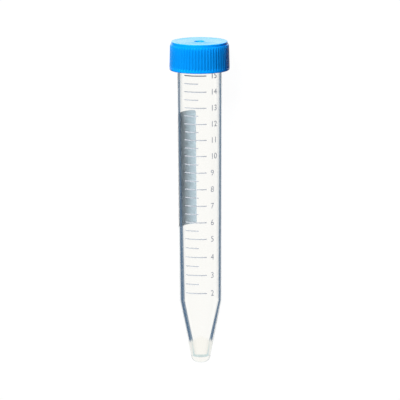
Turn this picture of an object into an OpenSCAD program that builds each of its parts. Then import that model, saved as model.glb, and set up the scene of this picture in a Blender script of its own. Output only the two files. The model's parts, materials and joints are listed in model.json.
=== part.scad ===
// Conical sample tube of 15 ml with a ribbed screw cap, lying on its side.
// Each piece is drawn upright, its tip at the origin and its axis along +Z, with the scale
// towards -Y. lie() then lays it down: the cap points to +Y and the scale looks up.

/* [Tube] */
// Length from the tip to the mouth
tube_len = 119.5; // [116:0.5:122]
// Outside diameter of the straight stretch below the cap
tube_d = 16.5; // [16.2:0.1:16.8]
// Length of that straight stretch
straight_len = 12; // [8:1:14]
// Outside diameter at the shoulder, where the cone starts
shoulder_d = 15.6; // [15.2:0.05:15.9]
// Height of the shoulder above the tip
shoulder_h = 23.5; // [21:0.5:25]
// Wall thickness of the shaft
wall = 0.95; // [0.8:0.05:1.1]
// Diameter at which the cone would meet the tip's flat end
tip_d = 6.15; // [5:0.05:7]
// Radius of the tip's rounded corner
tip_r = 1.8; // [1:0.1:2]
// Thickness of the floor inside the tip
floor_t = 2.3; // [1.5:0.1:3]
// Inside diameter at the floor
well_d = 4.2; // [3.6:0.1:4.6]

/* [Cap] */
// Overall length of the tube with its cap on
overall_len = 121; // [120.8:0.1:121.6]
// Height of the cap
cap_h = 10.7; // [10:0.1:12]
// Largest diameter, over the ribs at the skirt
cap_d = 22.4; // [21.8:0.1:22.6]
// Diameter over the ribs at their upper ends
rib_top_d = 21.95; // [21.5:0.05:22.2]
// Diameter of the flat top
top_d = 21; // [20:0.1:21.2]
// Number of grip ribs
ribs = 60; // [32:4:80]
// Depth of the grooves between the ribs
rib_depth = 0.35; // [0.3:0.05:0.5]
// Thickness of the top plate
plate_t = 1.3; // [1:0.1:1.4]
// Diameter of the bore that carries the thread
bore_d = 18.3; // [18:0.1:18.8]
// Depth of the plug that seals the mouth
plug_h = 3.5; // [2.5:0.1:4]
// Wall thickness of the plug
plug_t = 0.9; // [0.7:0.1:1.1]

/* [Print] */
// Height of the 5 ml line above the tip
ml5_h = 47.8; // [46:0.1:48.8]
// Spacing of the scale from 5 to 10 ml, per millilitre
ml_pitch = 6.24; // [6.1:0.01:6.3]
// Spacing of the scale above 10 ml, where the shaft is a little wider
ml_pitch_high = 6.02; // [5.9:0.01:6.1]
// Spacing of the scale below 5 ml, where the cone holds less
ml_pitch_low = 6.82; // [6.5:0.02:7]
// Thickness of a scale line
line_w = 0.38; // [0.3:0.02:0.5]
// Height of the numbers
digit_h = 2.1; // [1.6:0.1:2.4]
// Height of the writing patch's lower edge above the tip
patch_z = 52.2; // [50:0.1:56]
// Height of the writing patch
patch_h = 43.2; // [40:0.1:46]

/* [Hidden] */
$fn = 128;

ink = 0.05;                                 // thickness of all print
tube_r = tube_d / 2;
shoulder_r = shoulder_d / 2;
neck_r = tube_r - 0.3;                      // root of the neck's thread, under the cap
skirt_z = overall_len - cap_h;              // lower edge of the cap
neck_z = skirt_z + 0.2;
straight_z = neck_z - straight_len;
lip = 0.3;                                  // bevel round the mouth
cone_tilt = atan((shoulder_d - tip_d) / 2 / shoulder_h);
tip_x = tip_d / 2 - tip_r * (1 - sin(cone_tilt)) / cos(cone_tilt);
well_r = well_d / 2;
well_tilt = atan((shoulder_r - wall - well_r) / (shoulder_h - floor_t));
well_round = 1;                             // radius of the corner at the floor
well_x = well_r - well_round * (1 - sin(well_tilt)) / cos(well_tilt);

ceiling_z = overall_len - plate_t;
plug_clear = 0.06;
plug_r = tube_r - wall - plug_clear;
rib_low_z = skirt_z + 1.05;                 // plain rim below the ribs
rib_high_z = overall_len - 1.25;            // plain band above them
rib_fade = 1;                               // height of their sloping upper ends
rib_foot = 0.4;                             // height of their sloping lower ends
rib_land = 0.5;                             // short land above each foot, which the cap lies on
rib_start = 0.5;                            // they are drawn from this far down, then trimmed
rib_soft = 0.06;                            // fall of their rounded crests on either side
tuck = 0.1;                                 // reach of the ribs into the core
top_band = 0.7;                             // upright edge of the top plate
top_bevel = 0.2;
rim_r = cap_d / 2 - 0.08;
rim_bevel = 0.45;                           // bevelled lower corner of the rim
rim_drop = 0.2;                             // the rim's upright edge ends this far below the ribs
band_drop = 0.2;                            // the plain band starts this far below their tops
top_rim = 1.3;                              // raised ring round the top's shallow recess
recess = 0.12;
dimple_r = 1.95;                            // gate dimple in the middle of the top
dimple_deep = 0.45;
gate_r = 0.55;                              // gate mark that stands in it

line_from = -42.8;                          // all angles are counted from the front, to the right
long_to = 17.6;
short_to = -4;
number_mid = 40;
number_half = 20;                           // half the width of the sector that holds the numbers
patch_from = -169;
patch_to = -88;
digit_w = 1.25;
digit_pitch = 1.85;
stroke = 0.3;

// The part lies on the tube's shoulder and on the lands of two neighbouring ribs.
rest_r = cap_d / 2 * cos(180 / ribs);
rest_slope = (rest_r - shoulder_r) / (rib_low_z + rib_land - shoulder_h);
rest_tilt = atan(rest_slope);
land_drop = rib_land * rest_slope / cos(180 / ribs);
rest_h = shoulder_r * cos(rest_tilt) - shoulder_h * sin(rest_tilt);
rest_back = overall_len * cos(rest_tilt) + (top_d / 2 - top_bevel) * sin(rest_tilt);
rest_front = tip_x * sin(rest_tilt);
mid_y = (rest_back - rest_front) / 2;

function arc(x, y, r, from, to, steps = 8) =
    [for (i = [0 : steps]) let (a = from + (to - from) * i / steps) [x + r * cos(a), y + r * sin(a)]];
// Outside radius of the tube at a height on its shaft
function shaft_r(z) =
    shoulder_r + (tube_r - shoulder_r) * min(1, (z - shoulder_h) / (straight_z - shoulder_h));
// Height of a mark on the scale
function mark_z(ml) = ml5_h + (min(ml, 5) - 5) * ml_pitch_low
    + (min(max(ml, 5), 10) - 5) * ml_pitch + (max(ml, 10) - 10) * ml_pitch_high;

module lie() {
    translate([0, -mid_y, rest_h]) rotate([rest_tilt - 90, 0, 0]) children();
}

// A layer of ink on the shaft, between two heights and two angles
module ink_band(z0, z1, from, to) {
    r0 = shaft_r(z0);
    r1 = shaft_r(z1);
    rotate([0, 0, from - 90])
        rotate_extrude(angle = to - from)
            polygon([[r0, z0], [r0 + ink, z0], [r1 + ink, z1], [r1, z1]]);
}

module tube() {
    outside = concat(
        [[0, 0]],
        arc(tip_x, tip_r, tip_r, -90, -cone_tilt),
        [[shoulder_r, shoulder_h], [tube_r, straight_z], [tube_r, neck_z], [neck_r, neck_z]],
        [[neck_r, tube_len - lip], [neck_r - lip, tube_len]]
    );
    inside = concat(
        [[tube_r - wall, tube_len], [tube_r - wall, straight_z], [shoulder_r - wall, shoulder_h]],
        arc(well_x, floor_t + well_round, well_round, -well_tilt, -90, 5),
        [[0, floor_t]]
    );
    // the turned surface is closed along the top, under the scale
    color([0.86, 0.9, 0.93, 0.35]) lie()
        rotate([0, 0, -90]) rotate_extrude() polygon(concat(outside, inside));
}

// Cross-section of the grip: one soft ridge for each rib, with a groove under the axis at rest
module rib_section() {
    step = 360 / ribs;
    outer = cap_d / 2;
    polygon([
        for (i = [0 : ribs - 1])
            for (p = [[0.14, rib_depth], [0.3, rib_soft], [0.5, 0], [0.7, rib_soft], [0.86, rib_depth]])
                let (a = (i + p[0]) * step) [(outer - p[1]) * cos(a), (outer - p[1]) * sin(a)]
    ]);
}

module cap() {
    envelope_low = cap_d / 2 - rib_depth - tuck;
    core_r = rib_top_d / 2 - rib_depth;
    color("dodgerblue") lie() difference() {
        union() {
            // the ribs, trimmed to the skirt's slight taper and to their sloping ends
            intersection() {
                translate([0, 0, rib_low_z - rib_start])
                    linear_extrude(rib_high_z - rib_low_z + rib_start) rib_section();
                rotate_extrude() polygon([
                    [0, rib_low_z - rib_foot], [envelope_low, rib_low_z - rib_foot],
                    [cap_d / 2 - land_drop, rib_low_z], [cap_d / 2, rib_low_z + rib_land],
                    [rib_top_d / 2, rib_high_z - rib_fade],
                    [core_r - tuck, rib_high_z], [0, rib_high_z]
                ]);
            }
            // the plain rim, the core and the top plate
            rotate_extrude() polygon(concat(
                [[0, skirt_z], [rim_r - rim_bevel, skirt_z], [rim_r, skirt_z + rim_bevel]],
                [[rim_r, rib_low_z - rim_drop], [core_r, rib_low_z + tuck]],
                [[core_r, rib_high_z - band_drop]],
                [[top_d / 2, overall_len - top_band], [top_d / 2, overall_len - top_bevel]],
                [[top_d / 2 - top_bevel, overall_len], [0, overall_len]]
            ));
        }
        // the bore, with the hollow plug left standing in it
        difference() {
            translate([0, 0, skirt_z - 1]) cylinder(h = ceiling_z - skirt_z + 1, d = bore_d);
            translate([0, 0, ceiling_z - plug_h]) cylinder(h = plug_h + 1, r = plug_r);
        }
        translate([0, 0, skirt_z]) cylinder(h = ceiling_z - skirt_z, r = plug_r - plug_t);
        // the top's shallow recess and the gate dimple
        translate([0, 0, overall_len - recess]) cylinder(h = 1, r = top_d / 2 - top_rim);
        difference() {
            translate([0, 0, overall_len - dimple_deep]) cylinder(h = 1, r = dimple_r);
            cylinder(h = overall_len - recess - 0.1, r = gate_r);
        }
    }
}

module graduation_lines() {
    color([0.45, 0.48, 0.52]) lie() {
        for (ml = [2 : 15])
            ink_band(mark_z(ml) - line_w / 2, mark_z(ml) + line_w / 2, line_from, long_to);
        for (ml = [2.5 : 14.5])
            ink_band(mark_z(ml) - line_w / 2, mark_z(ml) + line_w / 2, line_from, short_to);
    }
}

// A straight stroke of a digit
module bar(a, b) {
    along = b - a;
    translate(a) rotate(atan2(along[1], along[0]))
        translate([0, -stroke / 2]) square([norm(along), stroke]);
}

// A curved stroke of a digit, about a centre
module bow(c, r, from, to) {
    polygon(concat(
        arc(c[0], c[1], r + stroke / 2, from, to),
        arc(c[0], c[1], r - stroke / 2, to, from)
    ));
}

// A closed round stroke
module ring(c, r) {
    translate(c) difference() {
        circle(r + stroke / 2);
        circle(r - stroke / 2);
    }
}

module digit(n) {
    w = digit_w - stroke;
    h = digit_h - stroke;
    r = w / 2;
    mid = [r, h / 2];
    low = [r, r];
    high = [r, h - r];
    translate([stroke / 2, stroke / 2]) {
        if (n == 0) {
            bow(high, r, 0, 180);
            bow(low, r, 180, 360);
            translate([-stroke / 2, r - 0.02]) square([stroke, h - w + 0.04]);
            translate([w - stroke / 2, r - 0.02]) square([stroke, h - w + 0.04]);
        }
        if (n == 1) {
            bar([r + 0.1, -stroke / 2], [r + 0.1, h + stroke / 2]);
            bar([r - 0.3, h - 0.35], [r + 0.1, h]);
        }
        if (n == 2) {
            bow(high, r, -35, 170);
            bar([w - 0.1, h - w + 0.22], [0, 0]);
            bar([-0.1, 0], [w + 0.1, 0]);
        }
        if (n == 3) {
            bow([r, h * 0.74], h * 0.26, -90, 160);
            bow([r, h * 0.27], h * 0.27, -160, 90);
        }
        if (n == 4) {
            bar([w - 0.2, -stroke / 2], [w - 0.2, h + stroke / 2]);
            bar([w - 0.2, h], [-0.05, h * 0.3]);
            bar([-0.15, h * 0.3], [w + 0.15, h * 0.3]);
        }
        if (n == 5) {
            bar([0, h], [w, h]);
            bar([0.05, h + stroke / 2], [0, h * 0.5]);
            bow([r - 0.03, h * 0.33], h * 0.33, -150, 140);
        }
        if (n == 6) {
            ring([r, h * 0.31], h * 0.31);
            bow([w + 0.35, h * 0.31], w + 0.3, 115, 180);
        }
        if (n == 7) {
            bar([-0.1, h], [w + 0.1, h]);
            bar([w, h], [r - 0.15, -stroke / 2]);
        }
        if (n == 8) {
            ring([r, h * 0.75], h * 0.25);
            ring([r, h * 0.26], h * 0.27);
        }
        if (n == 9) {
            ring([r, h * 0.69], h * 0.31);
            bow([-0.35, h * 0.69], w + 0.3, -65, 0);
        }
    }
}

module graduation_numbers() {
    // The numbers are cut from the same thin layer as the lines, straight through towards the axis.
    start = -(digit_pitch + digit_w) / 2;
    color([0.45, 0.48, 0.52]) lie()
        for (ml = [2 : 15])
            intersection() {
                ink_band(mark_z(ml) - digit_h, mark_z(ml) + digit_h,
                    number_mid - number_half, number_mid + number_half);
                rotate([0, 0, number_mid]) translate([start, -tube_r - 1, mark_z(ml) - digit_h / 2])
                    rotate([90, 0, 0]) mirror([0, 0, 1]) linear_extrude(3) {
                        if (ml >= 10) {
                            digit(1);
                            translate([digit_pitch, 0]) digit(ml - 10);
                        } else {
                            digit(ml);
                        }
                    }
            }
}

module writing_patch() {
    color("white") lie() ink_band(patch_z, patch_z + patch_h, patch_from, patch_to);
}

tube();
cap();
graduation_lines();
graduation_numbers();
writing_patch();
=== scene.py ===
# A 15 ml conical tube with its screw cap, printed scale and writing patch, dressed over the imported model.
import json
from math import atan, ceil, cos, pi, radians, sin, sqrt, tan

import bpy
from mathutils import Matrix, Vector


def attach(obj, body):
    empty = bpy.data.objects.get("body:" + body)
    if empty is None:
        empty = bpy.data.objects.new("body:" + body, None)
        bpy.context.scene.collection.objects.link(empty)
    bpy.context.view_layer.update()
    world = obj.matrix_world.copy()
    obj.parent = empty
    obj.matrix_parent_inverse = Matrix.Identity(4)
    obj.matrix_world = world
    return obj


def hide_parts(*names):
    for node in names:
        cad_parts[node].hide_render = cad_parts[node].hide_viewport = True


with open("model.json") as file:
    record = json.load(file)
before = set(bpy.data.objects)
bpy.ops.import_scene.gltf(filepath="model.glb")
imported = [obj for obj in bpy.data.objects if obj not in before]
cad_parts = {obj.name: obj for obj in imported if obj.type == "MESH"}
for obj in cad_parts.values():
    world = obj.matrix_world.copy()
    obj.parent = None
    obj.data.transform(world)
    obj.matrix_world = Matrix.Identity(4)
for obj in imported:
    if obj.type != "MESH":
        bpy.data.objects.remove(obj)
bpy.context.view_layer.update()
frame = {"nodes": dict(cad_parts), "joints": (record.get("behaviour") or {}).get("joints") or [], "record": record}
scene = bpy.context.scene
mm = 0.001
tiny = 1e-6
print("frame loaded:", ", ".join(sorted(frame["nodes"])))

# How the part lies: its axis comes from the cap's joint, its place from the seat on the shaft.
# Sizes below are in mm, and heights are measured along that axis from the tip.
seatHeight = 104.5
axisUp = Vector(frame["joints"][0]["axis"]).normalized()
axisSide = Vector((1, 0, 0))
axisFront = axisSide.cross(axisUp)
shaftSeat = next(m for m in frame["record"]["mounts"] if m["name"] == "shaft_seat")
tipPoint = Vector(shaftSeat["pos_m"]) - axisUp * seatHeight * mm
lie = Matrix.Translation(tipPoint) @ Matrix((axisSide, -axisFront, axisUp)).transposed().to_4x4()


def linked(name, data):
    made = bpy.data.objects.new(name, data)
    scene.collection.objects.link(made)
    return made


def isSocket(value):
    return isinstance(value, bpy.types.NodeSocket)


def wire(tree, kind, inputs=None, **settings):
    # Adds one node to a tree, with its inputs linked or set.
    made = tree.nodes.new(kind)
    for name, value in settings.items():
        setattr(made, name, value)
    for socket, value in (inputs or {}).items():
        if isSocket(value):
            tree.links.new(value, made.inputs[socket])
        else:
            made.inputs[socket].default_value = value
    return made


def calc(tree, operation, *values):
    return wire(tree, "ShaderNodeMath", dict(enumerate(values)), operation=operation).outputs[0]


def ramp(tree, value, start, stop, low=0.0, high=1.0, **settings):
    # Goes from low to high as the value goes from start to stop, and stays level past both.
    sizes = {"Value": value, "From Min": start, "From Max": stop, "To Min": low, "To Max": high}
    return wire(tree, "ShaderNodeMapRange", sizes, **settings).outputs[0]


def within(tree, edges):
    # A soft mask: one where every (value, start, full) edge has been passed.
    mask = None
    for value, start, full in edges:
        edge = ramp(tree, value, start, full)
        mask = edge if mask is None else calc(tree, "MULTIPLY", mask, edge)
    return mask


def blended(tree, factor, first, second, **settings):
    # Mixes two colours. Each is a plain one or comes from another node.
    first, second = [colour if isSocket(colour) else (*colour, 1) for colour in (first, second)]
    inputs = {"Factor": factor, 6: first, 7: second}
    return wire(tree, "ShaderNodeMix", inputs, data_type="RGBA", **settings).outputs[2]


def newTree(name, kind, inputs, outputs):
    tree = bpy.data.node_groups.new(name, kind)
    for side, sockets in (("INPUT", inputs), ("OUTPUT", outputs)):
        for label, (socketType, value) in sockets.items():
            socket = tree.interface.new_socket(label, in_out=side, socket_type="NodeSocket" + socketType)
            if value is not None:
                socket.default_value = value
    return tree, tree.nodes.new("NodeGroupInput"), tree.nodes.new("NodeGroupOutput")


def geometryTree(name, floats=(), counts=()):
    # A tree with one mesh in and one out, and named inputs for its sizes and counts.
    mesh = {"Geometry": ("Geometry", None)}
    sizes = {label: ("Float", 0.0) for label in floats}
    numbers = {label: ("Int", 1) for label in counts}
    return newTree(name, "GeometryNodeTree", {**mesh, **sizes, **numbers}, mesh)


def endTree(tree, out, geometry, material):
    solid = wire(tree, "GeometryNodeRealizeInstances", {0: geometry}).outputs[0]
    coated = wire(tree, "GeometryNodeSetMaterial", {"Geometry": solid, "Material": material}).outputs[0]
    tree.links.new(coated, out.inputs[0])


def plainMesh(name, holder):
    # The evaluated object as a plain mesh of its own; the object goes.
    graph = bpy.context.evaluated_depsgraph_get()
    mesh = bpy.data.meshes.new_from_object(holder.evaluated_get(graph), depsgraph=graph)
    bpy.data.objects.remove(holder)
    mesh.name = name
    return mesh


def grown(name, tree, values=None, start=None):
    # Runs a geometry tree on a mesh and keeps the result as a plain mesh.
    holder = linked(name + "Start", start or bpy.data.meshes.new(name + "Start"))
    modifier = holder.modifiers.new("grow", "NODES")
    modifier.node_group = tree
    for socket in tree.interface.items_tree:
        if socket.in_out == "INPUT" and socket.name in (values or {}):
            modifier[socket.identifier] = values[socket.name]
    return plainMesh(name, holder)


def eased(s):
    return s * s * (3 - 2 * s)


def clamped(value):
    return min(1, max(0, value))


def filleted(corners, steps=6):
    # (radius, height, rounding) corners, each rounded off by a soft arc that leaves some of both edges
    mostOfEdge = 0.48
    points = []
    for i, (x, z, soft) in enumerate(corners):
        if soft <= 0:
            points.append((x, z))
            continue
        here = Vector((x, z))
        before = Vector(corners[i - 1][:2]) - here
        after = Vector(corners[i + 1][:2]) - here
        cut = min(soft / tan(before.angle(after) / 2), mostOfEdge * before.length, mostOfEdge * after.length)
        start, end = here + before.normalized() * cut, here + after.normalized() * cut
        for s in range(steps + 1):
            t = s / steps
            points.append(tuple(start * (1 - t) ** 2 + here * 2 * t * (1 - t) + end * t * t))
    return points


def footArc(radius, height, rounding, tilt, steps):
    # The rounded lower corner of a cone, from its floor out to its side, which leans out by the tilt.
    x, z = radius - rounding * (1 - sin(tilt)) / cos(tilt), height + rounding
    angles = [-pi / 2 + (pi / 2 - tilt) * i / steps for i in range(steps + 1)]
    return [(x + rounding * cos(a), z + rounding * sin(a)) for a in angles]


def spaced(points, low, high, gap):
    # Splits the stretches that lie between two heights, so that none is longer than the gap. This
    # leaves small even faces on the mouth's inner wall and on the cap's rim.
    out = [points[0]]
    for a, b in zip(points, points[1:]):
        between = low - tiny <= min(a[1], b[1]) and max(a[1], b[1]) <= high + tiny
        count = max(1, ceil(abs(b[1] - a[1]) / gap)) if between else 1
        for k in range(1, count + 1):
            out.append((a[0] + (b[0] - a[0]) * k / count, a[1] + (b[1] - a[1]) * k / count))
    return out


def turned(name, outlineAt, angles, closed, shiftAt=lambda i, z: 0):
    # A surface of revolution, all the way round or only a wedge: outlineAt(k) is the outline at the
    # k-th angle, and shiftAt moves a whole ring of it sideways.
    vertices, rows, faces = [], [], []
    columns = len(angles)
    outlines = [outlineAt(k) for k in range(columns)]
    for i, (r0, z0) in enumerate(outlines[0]):
        if r0 < tiny:
            rows.append([len(vertices)] * columns)
            vertices.append((shiftAt(i, z0) * mm, 0, z0 * mm))
        else:
            rows.append(list(range(len(vertices), len(vertices) + columns)))
            for k, a in enumerate(angles):
                r, z = outlines[k][i]
                vertices.append(((r * cos(a) + shiftAt(i, z)) * mm, r * mm * sin(a), z * mm))
    for low, high in zip(rows, rows[1:]):
        for k in range(columns if closed else columns - 1):
            n = (k + 1) % columns
            corners = [low[k], low[n], high[n], high[k]]
            face = [v for j, v in enumerate(corners) if v != corners[j - 1]]
            if len(face) > 2:
                faces.append(face)
    mesh = bpy.data.meshes.new(name)
    mesh.from_pydata(vertices, [], faces)
    return mesh


def settle(name, mesh, body, node, materials, sharp=40):
    # Lays the finished mesh down in its place and hands it to the frame.
    mesh.transform(lie)
    mesh.materials.clear()
    for material in materials:
        mesh.materials.append(material)
    mesh.shade_smooth()
    mesh.set_sharp_from_angle(angle=radians(sharp))
    piece = linked(name, mesh)
    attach(piece, body)
    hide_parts(node)
    print(f"{name}: {len(mesh.polygons)} faces")
    return piece


def mouldedGroup():
    # Soft clouds and fine grain of a moulded surface, in the part's own coordinates.
    tree, given, out = newTree(
        "mouldedSurface", "ShaderNodeTree",
        {"Cloud Size": ("Float", 6.0), "Grain Size": ("Float", 0.2), "Stretch": ("Float", 1.0)},
        {"Cloud": ("Float", None), "Grain": ("Float", None)},
    )
    place = wire(tree, "ShaderNodeTexCoord").outputs["Object"]
    scale = wire(tree, "ShaderNodeCombineXYZ", {"X": 1.0, "Y": given.outputs["Stretch"], "Z": 1.0}).outputs[0]
    spot = wire(tree, "ShaderNodeMapping", {"Vector": place, "Scale": scale}).outputs[0]
    for label in ("Cloud", "Grain"):
        perMetre = calc(tree, "DIVIDE", 1 / mm, given.outputs[label + " Size"])
        noise = wire(tree, "ShaderNodeTexNoise", {"Vector": spot, "Scale": perMetre, "Detail": 2.0})
        tree.links.new(noise.outputs[0], out.inputs[label])
    return tree


moulded = mouldedGroup()


def newMaterial(name):
    material = bpy.data.materials.new(name)
    material.use_nodes = True
    tree = material.node_tree
    tree.nodes.clear()
    return material, tree, tree.nodes.new("ShaderNodeOutputMaterial")


def mouldedSurface(tree, look):
    sizes = {label: look[label] for label in ("Cloud Size", "Grain Size", "Stretch")}
    return wire(tree, "ShaderNodeGroup", sizes, node_tree=moulded).outputs


def unevenGloss(tree, pattern, look):
    middle, uneven = look["roughness"], look["uneven"]
    return ramp(tree, pattern, 0.0, 1.0, middle - uneven, middle + uneven)


def bumped(tree, pattern, depth, strength):
    inputs = {"Height": pattern, "Distance": depth * mm, "Strength": strength}
    return wire(tree, "ShaderNodeBump", inputs).outputs[0]


def edgeOn(tree):
    # Nought where a surface is looked at squarely, one where it is looked along.
    return wire(tree, "ShaderNodeLayerWeight", {"Blend": 0.5}).outputs["Facing"]


def heightOnAxis(tree):
    place = wire(tree, "ShaderNodeTexCoord").outputs["Object"]
    along = wire(tree, "ShaderNodeVectorMath", {0: place, 1: axisUp}, operation="DOT_PRODUCT")
    return calc(tree, "MULTIPLY_ADD", along.outputs["Value"], 1 / mm, -axisUp.dot(tipPoint) / mm)


def evenTint(level):
    return level, level, level, 1


def opaqueShader(tree, look, colour, gloss, surface):
    return wire(tree, "ShaderNodeBsdfPrincipled", {
        "Base Color": colour, "Roughness": gloss, "IOR": look["ior"],
        "Normal": bumped(tree, surface["Grain"], look["grainDepth"], look["grain"]),
        "Specular Tint": evenTint(look["mirror"]),
    })


def twoShades(tree, look, surface):
    cloudFrom, cloudTo = 0.3, 0.7
    return blended(tree, ramp(tree, surface["Cloud"], cloudFrom, cloudTo), look["dark"], look["light"])


def inkFinish(name, look):
    # Ink: two shades in clouds, uneven gloss and a fine grain.
    material, tree, out = newMaterial(name)
    surface = mouldedSurface(tree, look)
    gloss = unevenGloss(tree, surface["Grain"], look)
    shader = opaqueShader(tree, look, twoShades(tree, look, surface), gloss, surface)
    tree.links.new(shader.outputs[0], out.inputs["Surface"])
    return material


def capFinish(name, look):
    # Opaque plastic. The whole ribbed band gets painted shade: its colour is darkened to stand for the
    # shade in the grooves between the ribs. The flat top has a sheen where it is looked along, and the
    # steepest edges are duller.
    material, tree, out = newMaterial(name)
    surface = mouldedSurface(tree, look)
    height, facing = heightOnAxis(tree), edgeOn(tree)
    # painted shade: the ribbed band's colour is darkened, standing for the shade in its grooves
    paintedShadeZone = within(tree, [(height, start, full) for start, full in look["ribShadeZone"]])
    colour = blended(tree, paintedShadeZone, twoShades(tree, look, surface), look["ribPaintedShade"], blend_type="MULTIPLY")
    dull = ramp(tree, facing, look["dullFrom"], look["dullTo"], 0.0, look["dull"])
    gloss = calc(tree, "ADD", unevenGloss(tree, surface["Grain"], look), dull)
    shader = opaqueShader(tree, look, colour, gloss, surface)
    sheen = ramp(tree, facing, look["sheenFrom"], look["sheenTo"], 0.0, look["sheen"])
    onTop = calc(tree, "GREATER_THAN", height, look["sheenAbove"])
    tree.links.new(calc(tree, "MULTIPLY", sheen, onTop), shader.inputs["Coat Weight"])
    shader.inputs["Coat Roughness"].default_value = look["sheenRoughness"]
    tree.links.new(shader.outputs[0], out.inputs["Surface"])
    return material


def clearFinish(name, look):
    # Clear moulded plastic. Lamps shine through it, and its colour has painted shade: it is darkened
    # where its walls are seen edge-on.
    material, tree, out = newMaterial(name)
    surface = mouldedSurface(tree, look)
    # painted shade: the walls' colour darkens towards the edge colour where they are seen edge-on
    edge = ramp(tree, edgeOn(tree), look["edgeShadeFrom"], look["edgeShadeTo"], interpolation_type="SMOOTHSTEP")
    shader = wire(tree, "ShaderNodeBsdfPrincipled", {
        "Base Color": blended(tree, edge, look["body"], look["edge"]),
        "Roughness": unevenGloss(tree, surface["Cloud"], look),
        "Normal": bumped(tree, surface["Cloud"], look["waveDepth"], look["wave"]),
        "IOR": look["ior"], "Transmission Weight": 1.0, "Specular Tint": evenTint(look["mirror"]),
    }).outputs[0]
    passing = wire(tree, "ShaderNodeBsdfTransparent", {"Color": (*look["passing"], 1)}).outputs[0]
    isShadow = wire(tree, "ShaderNodeLightPath").outputs["Is Shadow Ray"]
    mixed = wire(tree, "ShaderNodeMixShader", {0: isShadow, 1: shader, 2: passing}).outputs[0]
    tree.links.new(mixed, out.inputs["Surface"])
    return material


finishes = {
    "clearPlastic": {
        # the edge colour is painted shade, taken where the walls are seen edge-on
        "body": (1.0, 0.997, 0.98), "edge": (0.74, 0.84, 0.87), "edgeShadeFrom": 0.55, "edgeShadeTo": 0.9,
        "roughness": 0.02, "uneven": 0.01, "ior": 1.49, "mirror": 0.3, "passing": (0.93, 0.95, 0.96),
        "Cloud Size": 14.0, "Grain Size": 0.3, "Stretch": 0.25, "wave": 0.15, "waveDepth": 0.05,
    },
    "capPlastic": {
        "dark": (0.001, 0.262, 0.76), "light": (0.002, 0.29, 0.82), "ior": 1.5, "mirror": 0.12,
        "roughness": 0.2, "uneven": 0.04, "grain": 0.2, "grainDepth": 0.01,
        "sheen": 0.45, "sheenFrom": 0.76, "sheenTo": 0.82, "sheenAbove": 120.7, "sheenRoughness": 0.12,
        "dull": 0.7, "dullFrom": 0.86, "dullTo": 0.93,
        # painted shade over the ribbed band: from the rim's edge up, more weakly towards the top, and none on
        # the top itself
        "ribPaintedShade": (0.72, 0.72, 0.72), "ribShadeZone": [(111.2, 112.0), (123.5, 116.3), (120.85, 120.75)],
        "Cloud Size": 5.0, "Grain Size": 0.16, "Stretch": 1.0,
    },
    "greyInk": {
        "dark": (0.36, 0.385, 0.395), "light": (0.44, 0.465, 0.475), "ior": 1.45, "mirror": 0.5,
        "roughness": 0.55, "uneven": 0.08, "grain": 0.4, "grainDepth": 0.01,
        "Cloud Size": 1.2, "Grain Size": 0.12, "Stretch": 1.0,
    },
    "patchFront": {
        "dark": (0.9, 0.87, 0.76), "light": (0.94, 0.91, 0.8), "ior": 1.45, "mirror": 0.5,
        "roughness": 0.65, "uneven": 0.08, "grain": 0.5, "grainDepth": 0.012,
        "Cloud Size": 2.5, "Grain Size": 0.14, "Stretch": 1.0,
    },
    # the patch's back: a greyer copy of the white ink, painted shade
    "patchBackPaintedShade": {
        "dark": (0.52, 0.6, 0.65), "light": (0.56, 0.64, 0.69), "ior": 1.45, "mirror": 0.5,
        "roughness": 0.6, "uneven": 0.05, "grain": 0.2, "grainDepth": 0.01,
        "Cloud Size": 3.0, "Grain Size": 0.2, "Stretch": 1.0,
    },
}

clearPlastic = clearFinish("clearPlastic", finishes["clearPlastic"])
capPlastic = capFinish("capPlastic", finishes["capPlastic"])
greyInk, patchFront, patchBackPaintedShade = [
    inkFinish(name, finishes[name]) for name in ("greyInk", "patchFront", "patchBackPaintedShade")
]
print("materials ready")


tube = {
    "length": 119.5, "straightDiameter": 16.5, "shoulderDiameter": 15.616, "shoulderHeight": 23.5,
    "straightHeight": 98.5, "neckHeight": 110.5, "neckRadius": 7.95, "neckStep": 0.02,
    "wall": 0.66, "shoulderWall": 1.0, "mouthWall": 0.95, "mouthWallFrom": 113.7, "wallTo": 111.5,
    "tipDiameter": 6.15, "tipRounding": 2.5, "floor": 2.3, "wellDiameter": 4.6, "wellRounding": 1.0,
    "taperRounding": 30, "stepRounding": 0.12, "neckRounding": 0.1, "boreRounding": 1.0,
    "mouthRounding": 0.4, "shoulderRounding": 2.0,
    "coreShift": 0.25, "shiftHeight": 34, "shiftFade": 60, "steps": 256, "tipSteps": 10, "wellSteps": 8,
    "ringsFrom": 110.8, "ringsTo": 119.3, "ringGap": 0.16,
}


def tubeOutline(t):
    # Out along the tip, up the outside, over the mouth and down the bore to the middle of its floor.
    straight, shoulder = t["straightDiameter"] / 2, t["shoulderDiameter"] / 2
    tip, well = t["tipDiameter"] / 2, t["wellDiameter"] / 2
    shoulderInner, inner = shoulder - t["shoulderWall"], straight - t["wall"]
    mouth, soft = straight - t["mouthWall"], t["mouthRounding"]
    tilt = atan((shoulder - tip) / t["shoulderHeight"])
    wellTilt = atan((shoulderInner - well) / (t["shoulderHeight"] - t["floor"]))
    foot = footArc(tip, 0, t["tipRounding"], tilt, t["tipSteps"])
    floor = footArc(well, t["floor"], t["wellRounding"], wellTilt, t["wellSteps"])[::-1]
    sides = filleted([
        (*foot[-1], 0), (shoulder, t["shoulderHeight"], t["shoulderRounding"]),
        (straight, t["straightHeight"], t["taperRounding"]), (straight, t["neckHeight"], t["stepRounding"]),
        (t["neckRadius"], t["neckHeight"] + t["neckStep"], t["neckRounding"]),
        (t["neckRadius"], t["length"], soft), (mouth, t["length"], soft),
        (mouth, t["mouthWallFrom"], t["boreRounding"]), (inner, t["wallTo"], t["boreRounding"]),
        (inner, t["straightHeight"], t["taperRounding"]),
        (shoulderInner, t["shoulderHeight"], t["shoulderRounding"]), (*floor[0], 0),
    ])
    return [(0, 0)] + foot[:-1] + sides + floor[1:] + [(0, t["floor"])]


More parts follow.
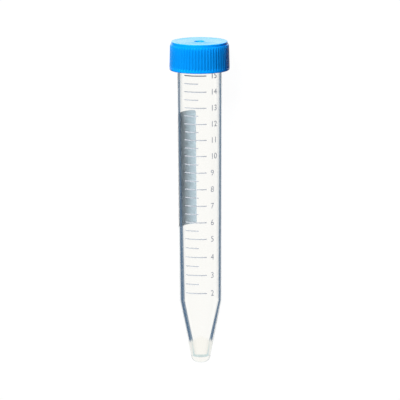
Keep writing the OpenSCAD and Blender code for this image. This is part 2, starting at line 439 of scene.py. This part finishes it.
def makeTube(t):
    outline = spaced(tubeOutline(t), t["ringsFrom"], t["ringsTo"], t["ringGap"])
    angles = [2 * pi * k / t["steps"] for k in range(t["steps"])]
    innerStart = max(range(len(outline)), key=lambda i: outline[i][1]) + 1

    def coreShift(i, z):
        # the core that made the bore stood a little off centre at its free end
        down, up = (t["straightHeight"] - z) / t["shiftFade"], z / t["shiftHeight"]
        return t["coreShift"] * clamped(down) * min(1, up) if i >= innerStart else 0

    mesh = turned("clearTube", lambda k: outline, angles, True, coreShift)
    return settle("clearTube", mesh, "tube", "tube", [clearPlastic])


makeTube(tube)


cap = {
    "top": 121.0, "skirt": 110.3, "rimRadius": 11.12, "rimRounding": 0.7, "rimEdge": 0.05,
    "ribs": 60, "ribLow": 111.6, "ribHigh": 119.9, "ribLowRadius": 11.158, "ribHighRadius": 10.948,
    "ribDepthLow": 0.25, "ribDepthHigh": 0.2, "ribEnd": 0.42, "riseReach": 1.3, "riseSteps": 6,
    "ribFade": 0.9, "fadeSteps": 8, "grooveFrom": 0.42, "grooveRamp": 0.44,
    "plateRadius": 10.42, "plateFlare": 0.06, "plateRounding": 0.2, "ringWidth": 1.3,
    "recess": 0.08, "recessRamp": 0.7, "recessRounding": 0.3,
    "dimpleRadius": 1.95, "dimpleDepth": 0.55, "dimpleSlope": 0.12, "dimpleRounding": 0.15,
    "gateRadius": 0.55, "gateHeight": 0.22, "gateSlope": 0.06, "gateRounding": 0.1, "gateEdge": 0.08,
    "ceiling": 119.7, "ceilingRounding": 0.2, "boreRadius": 9.15, "boreRounding": 0.25,
    "plugRadius": 7.24, "plugWall": 0.9, "plugDepth": 3.5, "plugRootRounding": 0.15,
    "plugEndRounding": 0.25, "plugLeadRounding": 0.35, "weld": 0.002, "topSteps": 4,
    "ringsFrom": 110.5, "ringsTo": 116.8, "ringGap": 0.17,
    # where a rib's wedge has its points: few on the flat crest, more down the sides of the groove
    "across": (0, 0.06, 0.11, 0.16, 0.21, 0.26, 0.38, 0.5, 0.62, 0.74, 0.79, 0.84, 0.89, 0.94, 1.0),
}


def capInside(c):
    # From the middle of the ceiling, round the plug and down the bore, to the rim outside.
    plug, plugEnd, ceiling = c["plugRadius"], c["ceiling"] - c["plugDepth"], c["ceiling"]
    inside = filleted([
        (0, ceiling, 0), (plug - c["plugWall"], ceiling, c["ceilingRounding"]),
        (plug - c["plugWall"], plugEnd, c["plugEndRounding"]), (plug, plugEnd, c["plugLeadRounding"]),
        (plug, ceiling, c["plugRootRounding"]), (c["boreRadius"], ceiling, c["ceilingRounding"]),
        (c["boreRadius"], c["skirt"], c["boreRounding"]), (c["rimRadius"], c["skirt"], c["rimRounding"]),
        (c["rimRadius"], c["ribLow"] - c["ribEnd"] - c["rimEdge"], 0),
    ])
    return spaced(inside, c["ringsFrom"], c["ringsTo"], c["ringGap"])


def capWall(c, valley):
    # The ribbed wall from the rim up. The valley goes from nought on a crest to one in a groove.
    def radiiAt(z):
        along = clamped((z - c["ribLow"]) / (c["ribHigh"] - c["ribLow"]))
        crest = c["ribLowRadius"] + (c["ribHighRadius"] - c["ribLowRadius"]) * along
        return crest, crest - c["ribDepthLow"] - (c["ribDepthHigh"] - c["ribDepthLow"]) * along

    wall = []
    for i in range(1, c["riseSteps"] + 1):  # the ribs rise out of the rim
        s = i / c["riseSteps"]
        z = c["ribLow"] + c["ribEnd"] * (c["riseReach"] * s - 1)
        crest, groove = radiiAt(z)
        crest = c["rimRadius"] + (crest - c["rimRadius"]) * sqrt(eased(s))
        groove = c["rimRadius"] + (groove - c["rimRadius"]) * eased(s)
        wall.append((crest + (groove - crest) * valley, z))
    for i in range(c["fadeSteps"] + 1):  # and round off under the plain band
        s = i / c["fadeSteps"]
        z = c["ribHigh"] - c["ribFade"] * (1 - s)
        crest, groove = radiiAt(z)
        crest = groove + (crest - groove) * (1 - s * s)
        wall.append((crest + (groove - crest) * valley, z))
    return wall


def capTop(c):
    # The band above the ribs, the raised ring, the recess, and the gate's stub in its dimple.
    ringInner, recess = c["plateRadius"] - c["ringWidth"], c["top"] - c["recess"]
    dimple, gateTop = c["top"] - c["dimpleDepth"], c["top"] - c["dimpleDepth"] + c["gateHeight"]
    return filleted([
        (c["plateRadius"] + c["plateFlare"], c["ribHigh"] + c["rimEdge"], 0),
        (c["plateRadius"], c["top"], c["plateRounding"]), (ringInner, c["top"], c["recessRounding"]),
        (ringInner - c["recessRamp"], recess, c["recessRounding"]),
        (c["dimpleRadius"], recess, c["dimpleRounding"]),
        (c["dimpleRadius"] - c["dimpleSlope"], dimple, c["dimpleRounding"]),
        (c["gateRadius"], dimple, c["gateRounding"]),
        (c["gateRadius"] - c["gateSlope"], gateTop, c["gateEdge"]), (0, gateTop, 0),
    ], c["topSteps"])


def capTree():
    # One rib's wedge goes round the axis as many times as there are ribs, and the wedges are welded.
    tree, given, out = geometryTree("capBuilder", floats=("Weld",), counts=("Ribs",))
    count = given.outputs["Ribs"]
    points = wire(tree, "GeometryNodePoints", {"Count": count}).outputs[0]
    index = wire(tree, "GeometryNodeInputIndex").outputs[0]
    angle = calc(tree, "DIVIDE", calc(tree, "MULTIPLY", index, 2 * pi), count)
    turn = wire(tree, "ShaderNodeCombineXYZ", {"Z": angle}).outputs[0]
    ring = wire(tree, "GeometryNodeInstanceOnPoints", {
        "Points": points, "Instance": given.outputs[0], "Rotation": turn,
    }).outputs[0]
    whole = wire(tree, "GeometryNodeRealizeInstances", {0: ring}).outputs[0]
    welded = wire(tree, "GeometryNodeMergeByDistance", {"Geometry": whole, "Distance": given.outputs["Weld"]})
    endTree(tree, out, welded.outputs[0], capPlastic)
    return tree


def makeCap(c):
    def outlineAt(k):
        side = clamped((abs(2 * c["across"][k] - 1) - c["grooveFrom"]) / c["grooveRamp"])
        return capInside(c) + capWall(c, eased(side)) + capTop(c)

    angles = [f * 2 * pi / c["ribs"] for f in c["across"]]
    wedge = turned("capWedge", outlineAt, angles, False)
    mesh = grown("ribbedCap", capTree(), {"Ribs": c["ribs"], "Weld": c["weld"] * mm}, wedge)
    return settle("ribbedCap", mesh, "cap", "cap", [capPlastic])


makeCap(cap)


printing = {
    "proud": 0.04, "sunk": 0.02, "firstMl": 2, "lastMl": 15,
    "ml5Height": 47.8, "mlPitchLow": 6.82, "mlPitch": 6.24, "mlPitchHigh": 6.02,
    "lineWidth": 0.38, "lineFrom": -42.8, "longTo": 17.6, "shortTo": -4.0, "lineColumns": 28,
    "digitHeight": 2.12, "digitFrom": 29.0, "digitWidth": 1.0, "digitSteps": 6,
    "patchFrom": -169, "patchTo": -88, "patchLow": 51.15, "patchHeight": 42.85, "patchCorner": 0.8,
    "patchCornerColumns": 6, "patchColumns": 40, "patchRows": 24,
}
nominalRadius = tube["straightDiameter"] / 2
# the pitch changes at 5 and at 10 ml: (pitch, from, to, counted from), in ml past the first of them
firstChange = 5
pitches = (("mlPitchLow", -5, 0, 0), ("mlPitch", 0, 5, 0), ("mlPitchHigh", 5, 10, 5))


def arc(degrees):
    return radians(degrees) * nominalRadius


def markHeight(p, ml):
    past = ml - firstChange
    return p["ml5Height"] + sum(
        (min(max(past, start), stop) - anchor) * p[pitch] for pitch, start, stop, anchor in pitches
    )


def wrapTree():
    # Rolls flat print round the tapering shaft: x runs round it, y up it and z out of it.
    tree, given, out = geometryTree("wrapOnShaft", (
        "Shoulder Radius", "Straight Radius", "Shoulder Height", "Straight Height",
    ))
    g = given.outputs
    xyz = wire(tree, "ShaderNodeSeparateXYZ", {0: wire(tree, "GeometryNodeInputPosition").outputs[0]}).outputs
    heights, radii = [[g[end + size] for end in ("Shoulder ", "Straight ")] for size in ("Height", "Radius")]
    radius = calc(tree, "ADD", ramp(tree, xyz["Y"], *heights, *radii), xyz["Z"])
    angle = calc(tree, "DIVIDE", xyz["X"], g["Straight Radius"])
    sideways = calc(tree, "MULTIPLY", calc(tree, "SINE", angle), radius)
    back = calc(tree, "MULTIPLY", calc(tree, "MULTIPLY", calc(tree, "COSINE", angle), radius), -1.0)
    rolled = wire(tree, "ShaderNodeCombineXYZ", {"X": sideways, "Y": back, "Z": xyz["Y"]}).outputs[0]
    moved = wire(tree, "GeometryNodeSetPosition", {"Geometry": g["Geometry"], "Position": rolled})
    tree.links.new(moved.outputs[0], out.inputs[0])
    return tree


wrapGroup = wrapTree()


def wrapped(tree, flat):
    sizes = {
        "Shoulder Radius": tube["shoulderDiameter"] / 2, "Straight Radius": nominalRadius,
        "Shoulder Height": tube["shoulderHeight"], "Straight Height": tube["straightHeight"],
    }
    inputs = {0: flat, **{label: value * mm for label, value in sizes.items()}}
    return wire(tree, "GeometryNodeGroup", inputs, node_tree=wrapGroup).outputs[0]


def linesTree():
    # Lays a long line at each millilitre and a short one between, then rolls them on.
    tree, given, out = geometryTree("scaleLines", (
        "Line Width", "Thickness", "Left", "Long Length", "Short Length", "First",
        "ml5Height", "mlPitchLow", "mlPitch", "mlPitchHigh", "Lift",
    ), ("Count", "Columns"))
    g = given.outputs
    index = wire(tree, "GeometryNodeInputIndex").outputs[0]
    both = wire(tree, "GeometryNodeJoinGeometry")
    for label, half, fewer in (("Long Length", 0.0, 0), ("Short Length", 0.5, 1)):
        ml = calc(tree, "ADD", calc(tree, "ADD", index, half), g["First"])
        past = calc(tree, "SUBTRACT", ml, firstChange)
        height = g["ml5Height"]
        for pitch, start, stop, anchor in pitches:
            steps = calc(tree, "MINIMUM", calc(tree, "MAXIMUM", past, start), stop)
            rise = calc(tree, "MULTIPLY", calc(tree, "SUBTRACT", steps, anchor), g[pitch])
            height = calc(tree, "ADD", height, rise)
        middle = calc(tree, "ADD", calc(tree, "MULTIPLY", g[label], 0.5), g["Left"])
        spot = wire(tree, "ShaderNodeCombineXYZ", {"X": middle, "Y": height, "Z": g["Lift"]}).outputs[0]
        count = calc(tree, "SUBTRACT", g["Count"], fewer)
        points = wire(tree, "GeometryNodePoints", {"Count": count, "Position": spot}).outputs[0]
        size = wire(tree, "ShaderNodeCombineXYZ", {"X": g[label], "Y": g["Line Width"], "Z": g["Thickness"]})
        bar = wire(tree, "GeometryNodeMeshCube", {
            "Size": size.outputs[0], "Vertices X": g["Columns"], "Vertices Y": 2, "Vertices Z": 2,
        }).outputs[0]
        row = wire(tree, "GeometryNodeInstanceOnPoints", {"Points": points, "Instance": bar})
        tree.links.new(row.outputs[0], both.inputs[0])
    solid = wire(tree, "GeometryNodeRealizeInstances", {0: both.outputs[0]}).outputs[0]
    endTree(tree, out, wrapped(tree, solid), greyInk)
    return tree


def makeLines(p):
    values = {label: p[label] * mm for label in ("ml5Height", "mlPitchLow", "mlPitch", "mlPitchHigh")}
    mesh = grown("scaleLines", linesTree(), {
        **values, "Line Width": p["lineWidth"] * mm, "Left": arc(p["lineFrom"]) * mm,
        "Long Length": arc(p["longTo"] - p["lineFrom"]) * mm,
        "Short Length": arc(p["shortTo"] - p["lineFrom"]) * mm,
        "Thickness": (p["proud"] + p["sunk"]) * mm, "Lift": (p["proud"] - p["sunk"]) / 2 * mm,
        "First": float(p["firstMl"]), "Count": p["lastMl"] - p["firstMl"] + 1, "Columns": p["lineColumns"],
    })
    return settle("scaleLines", mesh, "tube", "graduation_lines", [greyInk])


def printTree(name, ink):
    tree, given, out = geometryTree(name)
    endTree(tree, out, wrapped(tree, given.outputs[0]), ink)
    return tree


def makeNumbers(p):
    # The numbers are set in the built-in typeface, made into thin plates and rolled on.
    halfThick = 0.5
    plates = []
    for ml in range(p["firstMl"], p["lastMl"] + 1):
        text = bpy.data.curves.new("number", "FONT")
        text.body = str(ml)
        text.size, text.extrude, text.resolution_u = 1.0, halfThick, p["digitSteps"]
        plates.append((ml, plainMesh("number", linked("number", text))))
    tallest = max(v.co.y for _, plate in plates for v in plate.vertices)
    size = p["digitHeight"] / tallest
    vertices, faces = [], []
    for ml, plate in plates:
        start, low = len(vertices), markHeight(p, ml) - p["digitHeight"] / 2
        for v in plate.vertices:
            x = v.co.x * size * p["digitWidth"] + arc(p["digitFrom"])
            z = (v.co.z + halfThick) * (p["proud"] + p["sunk"]) - p["sunk"]
            vertices.append((x * mm, (v.co.y * size + low) * mm, z * mm))
        faces += [[start + i for i in face.vertices] for face in plate.polygons]
    flat = bpy.data.meshes.new("numbersFlat")
    flat.from_pydata(vertices, [], faces)
    mesh = grown("scaleNumbers", printTree("numbersBuilder", greyInk), start=flat)
    return settle("scaleNumbers", mesh, "tube", "graduation_numbers", [greyInk])


def makePatch(p):
    # A rounded rectangle of thick white ink. Its back, seen through the tube, is a greyer copy of the
    # same ink, which is painted shade.
    left, corner, rowCount = arc(p["patchFrom"]), p["patchCorner"], p["patchRows"]
    width = arc(p["patchTo"]) - left
    cornerSteps, steps = p["patchCornerColumns"], p["patchColumns"]
    columns = [corner * (1 - cos(pi / 2 * i / cornerSteps)) for i in range(cornerSteps)]
    middle = [corner + (width - 2 * corner) * i / steps for i in range(steps + 1)]
    columns = columns + middle + [width - x for x in reversed(columns)]
    vertices, faces, sides = [], [], []
    for z in (-p["sunk"], p["proud"]):
        for x in columns:
            reach = max(0, corner - min(x, width - x))
            inset = corner - sqrt(max(0, corner * corner - reach * reach))
            low, high = p["patchLow"] + inset, p["patchLow"] + p["patchHeight"] - inset
            for i in range(rowCount + 1):
                vertices.append(((left + x) * mm, (low + (high - low) * i / rowCount) * mm, z * mm))
    across, up = len(columns), rowCount + 1
    for x in range(across - 1):
        for y in range(rowCount):
            a, b = x * up + y, (x + 1) * up + y
            faces += [[a, a + 1, b + 1, b], [across * up + v for v in (a, b, b + 1, a + 1)]]
            sides += [1, 0]
    border = [x * up for x in range(across)] + [(across - 1) * up + y for y in range(1, up)]
    border += [x * up + rowCount for x in range(across - 2, -1, -1)] + list(range(rowCount - 1, 0, -1))
    for a, b in zip(border, border[1:] + border[:1]):
        faces.append([a, b, across * up + b, across * up + a])
        sides.append(0)
    flat = bpy.data.meshes.new("patchFlat")
    flat.from_pydata(vertices, [], faces)
    mesh = grown("writingPatch", printTree("patchBuilder", patchFront), start=flat)
    piece = settle("writingPatch", mesh, "tube", "writing_patch", [patchFront, patchBackPaintedShade])
    mesh.polygons.foreach_set("material_index", sides)
    return piece


makeLines(printing)
makeNumbers(printing)
makePatch(printing)


cameraPlace = {
    "distance": 2200, "lens": 532.4, "sensor": 36, "lift": 9.8, "aimHeight": 61.3, "aimSide": -0.04,
    "roll": -0.24, "clipNear": 0.1, "clipFar": 20,
}
floorLook = {
    "size": 3000, "glow": 0.96, "even": 0.95, "colour": (0.82, 0.82, 0.82), "bounce": (0.05, 0.05, 0.05),
    "sheetEdge": -52.0, "sheetSlant": 0.4, "sheetSoft": 0.6, "sheetMiddle": 2.5, "sheetSide": 6.5,
    "sheetFar": -60.5, "sheetFade": 1.5,
    "sheetWhite": (0.98, 0.97, 0.94), "sheetSideShade": (0.82, 0.82, 0.79), "sheetEndShade": (0.62, 0.74, 0.75),
}
roomLook = {
    "soft": (0.05, 0.06, 0.17), "below": (1, 1, 1), "above": (0.1, 0.1, 0.1), "overhead": (0.34, 0.34, 0.34),
    "horizon": (0.1, -0.1), "underfoot": (-0.7, -0.9), "cardColour": (0.105, 0.18, 0.285),
    "cardEdges": [("X", 0.26, 0.34), ("Y", -0.06, -0.11), ("Y", -0.56, -0.5), ("Z", -0.3, -0.45)],
}
lampLooks = {
    "key": {"place": (-460, 900, 1110), "size": 500, "power": 25.0},
    "fill": {"place": (-400, -860, 1160), "size": 600, "power": 9.0},
    "top": {"place": (-240, 1450, 280), "size": 500, "power": 35.0},
}
white = (1, 1, 1)


def makeCamera(c):
    lift = radians(c["lift"])
    towards = axisFront * cos(lift) + axisUp * sin(lift)
    aim = tipPoint + (axisUp * c["aimHeight"] + axisSide * c["aimSide"]) * mm
    level = (axisUp - towards * axisUp.dot(towards)).normalized()
    up = Matrix.Rotation(radians(c["roll"]), 3, towards) @ level
    lens = bpy.data.cameras.new("studioCamera")
    lens.lens, lens.sensor_width = c["lens"], c["sensor"]
    lens.clip_start, lens.clip_end = c["clipNear"], c["clipFar"]
    camera = linked("studioCamera", lens)
    place = Matrix((up.cross(towards), up, towards)).transposed().to_4x4()
    place.translation = aim + towards * c["distance"] * mm
    camera.matrix_world = place
    scene.camera = camera


def makeFloor(f):
    # White to the camera, but for the object's own faint shadow. To rays that clear plastic or gloss
    # has turned, it is a glowing sheet under the tip, with a blunt point, and open past that sheet. The
    # sheet is white in the middle, paler to the sides and blue-grey past its far end, which is painted
    # shade that shows through the plastic.
    half = f["size"] / 2 * mm
    mesh = bpy.data.meshes.new("studioFloor")
    corners = [(-half, -half, 0), (half, -half, 0), (half, half, 0), (-half, half, 0)]
    mesh.from_pydata(corners, [], [[0, 1, 2, 3]])
    material, tree, out = newMaterial("floorPaint")
    path = wire(tree, "ShaderNodeLightPath").outputs
    turnedRay = calc(tree, "MAXIMUM", path["Is Glossy Ray"], path["Is Transmission Ray"])
    paint = blended(tree, path["Is Diffuse Ray"], f["colour"], f["bounce"])
    diffuse = wire(tree, "ShaderNodeBsdfDiffuse", {"Color": paint}).outputs[0]
    unshaded = calc(tree, "MULTIPLY_ADD", path["Is Camera Ray"], f["even"], turnedRay)
    faint = wire(tree, "ShaderNodeMixShader", {0: unshaded, 1: diffuse}).outputs[0]

    place = wire(tree, "ShaderNodeTexCoord").outputs["Object"]
    spot = wire(tree, "ShaderNodeSeparateXYZ", {0: place}).outputs
    aside = calc(tree, "ABSOLUTE", spot["X"])
    sideways = ramp(tree, aside, f["sheetMiddle"] * mm, f["sheetSide"] * mm)
    far = ramp(tree, spot["Y"], f["sheetFar"] * mm, (f["sheetFar"] - f["sheetFade"]) * mm)
    # painted shade: the sheet is paler to the sides and blue-grey past its far end
    sheet = blended(tree, far, blended(tree, sideways, f["sheetWhite"], f["sheetSideShade"]), f["sheetEndShade"])
    shown = blended(tree, path["Is Camera Ray"], sheet, white)
    glow = calc(tree, "MULTIPLY_ADD", path["Is Camera Ray"], f["glow"], turnedRay)
    glowing = wire(tree, "ShaderNodeEmission", {"Color": shown, "Strength": glow}).outputs[0]
    lit = wire(tree, "ShaderNodeAddShader", {0: faint, 1: glowing}).outputs[0]

    along = calc(tree, "MULTIPLY_ADD", aside, f["sheetSlant"], spot["Y"])
    edge, soft = f["sheetEdge"] * mm, f["sheetSoft"] * mm
    opening = calc(tree, "MULTIPLY", turnedRay, ramp(tree, along, edge - soft, edge + soft))
    clear = wire(tree, "ShaderNodeBsdfTransparent").outputs[0]
    mixed = wire(tree, "ShaderNodeMixShader", {0: opening, 1: lit, 2: clear}).outputs[0]
    tree.links.new(mixed, out.inputs["Surface"])
    mesh.materials.append(material)
    linked("studioFloor", mesh)


def makeRoom(r):
    # Plain and soft, and white to the camera. Rays that clear plastic has turned meet a dark card low
    # on either side, which draws the clear edges.
    world = bpy.data.worlds.new("studioRoom")
    world.use_nodes = True
    scene.world = world
    tree = world.node_tree
    tree.nodes.clear()
    out = tree.nodes.new("ShaderNodeOutputWorld")
    looking = wire(tree, "ShaderNodeTexCoord").outputs["Generated"]
    xyz = wire(tree, "ShaderNodeSeparateXYZ", {0: looking}).outputs
    path = wire(tree, "ShaderNodeLightPath").outputs
    reach = {"X": calc(tree, "ABSOLUTE", xyz["X"]), "Y": xyz["Y"], "Z": xyz["Z"]}
    cards = within(tree, [(reach[axis], start, full) for axis, start, full in r["cardEdges"]])
    low = blended(tree, cards, r["below"], r["cardColour"])
    seenThrough = blended(tree, ramp(tree, xyz["Z"], *r["horizon"]), r["overhead"], low)
    seenInGloss = blended(tree, ramp(tree, xyz["Z"], *r["underfoot"]), r["above"], r["below"])
    # rough clear plastic counts as gloss too, so its own mix comes after the one for gloss
    seen = blended(tree, path["Is Glossy Ray"], r["soft"], seenInGloss)
    seen = blended(tree, path["Is Transmission Ray"], seen, seenThrough)
    seen = blended(tree, path["Is Camera Ray"], seen, white)
    sky = wire(tree, "ShaderNodeBackground", {"Color": seen, "Strength": 1.0})
    tree.links.new(sky.outputs[0], out.inputs["Surface"])


def makeLamp(name, look):
    light = bpy.data.lights.new(name, "AREA")
    light.shape, light.size, light.energy = "DISK", look["size"] * mm, look["power"]
    lamp = linked(name, light)
    spot = Vector(look["place"]) * mm
    lamp.location = spot
    lamp.rotation_mode = "QUATERNION"
    lamp.rotation_quaternion = (-spot).to_track_quat("-Z", "Y")
    lamp.visible_glossy = False
    lamp.visible_transmission = False


makeCamera(cameraPlace)
makeFloor(floorLook)
makeRoom(roomLook)
for lampName, lampLook in lampLooks.items():
    makeLamp(lampName + "Light", lampLook)
scene.view_settings.view_transform = "Standard"
print("studio ready")
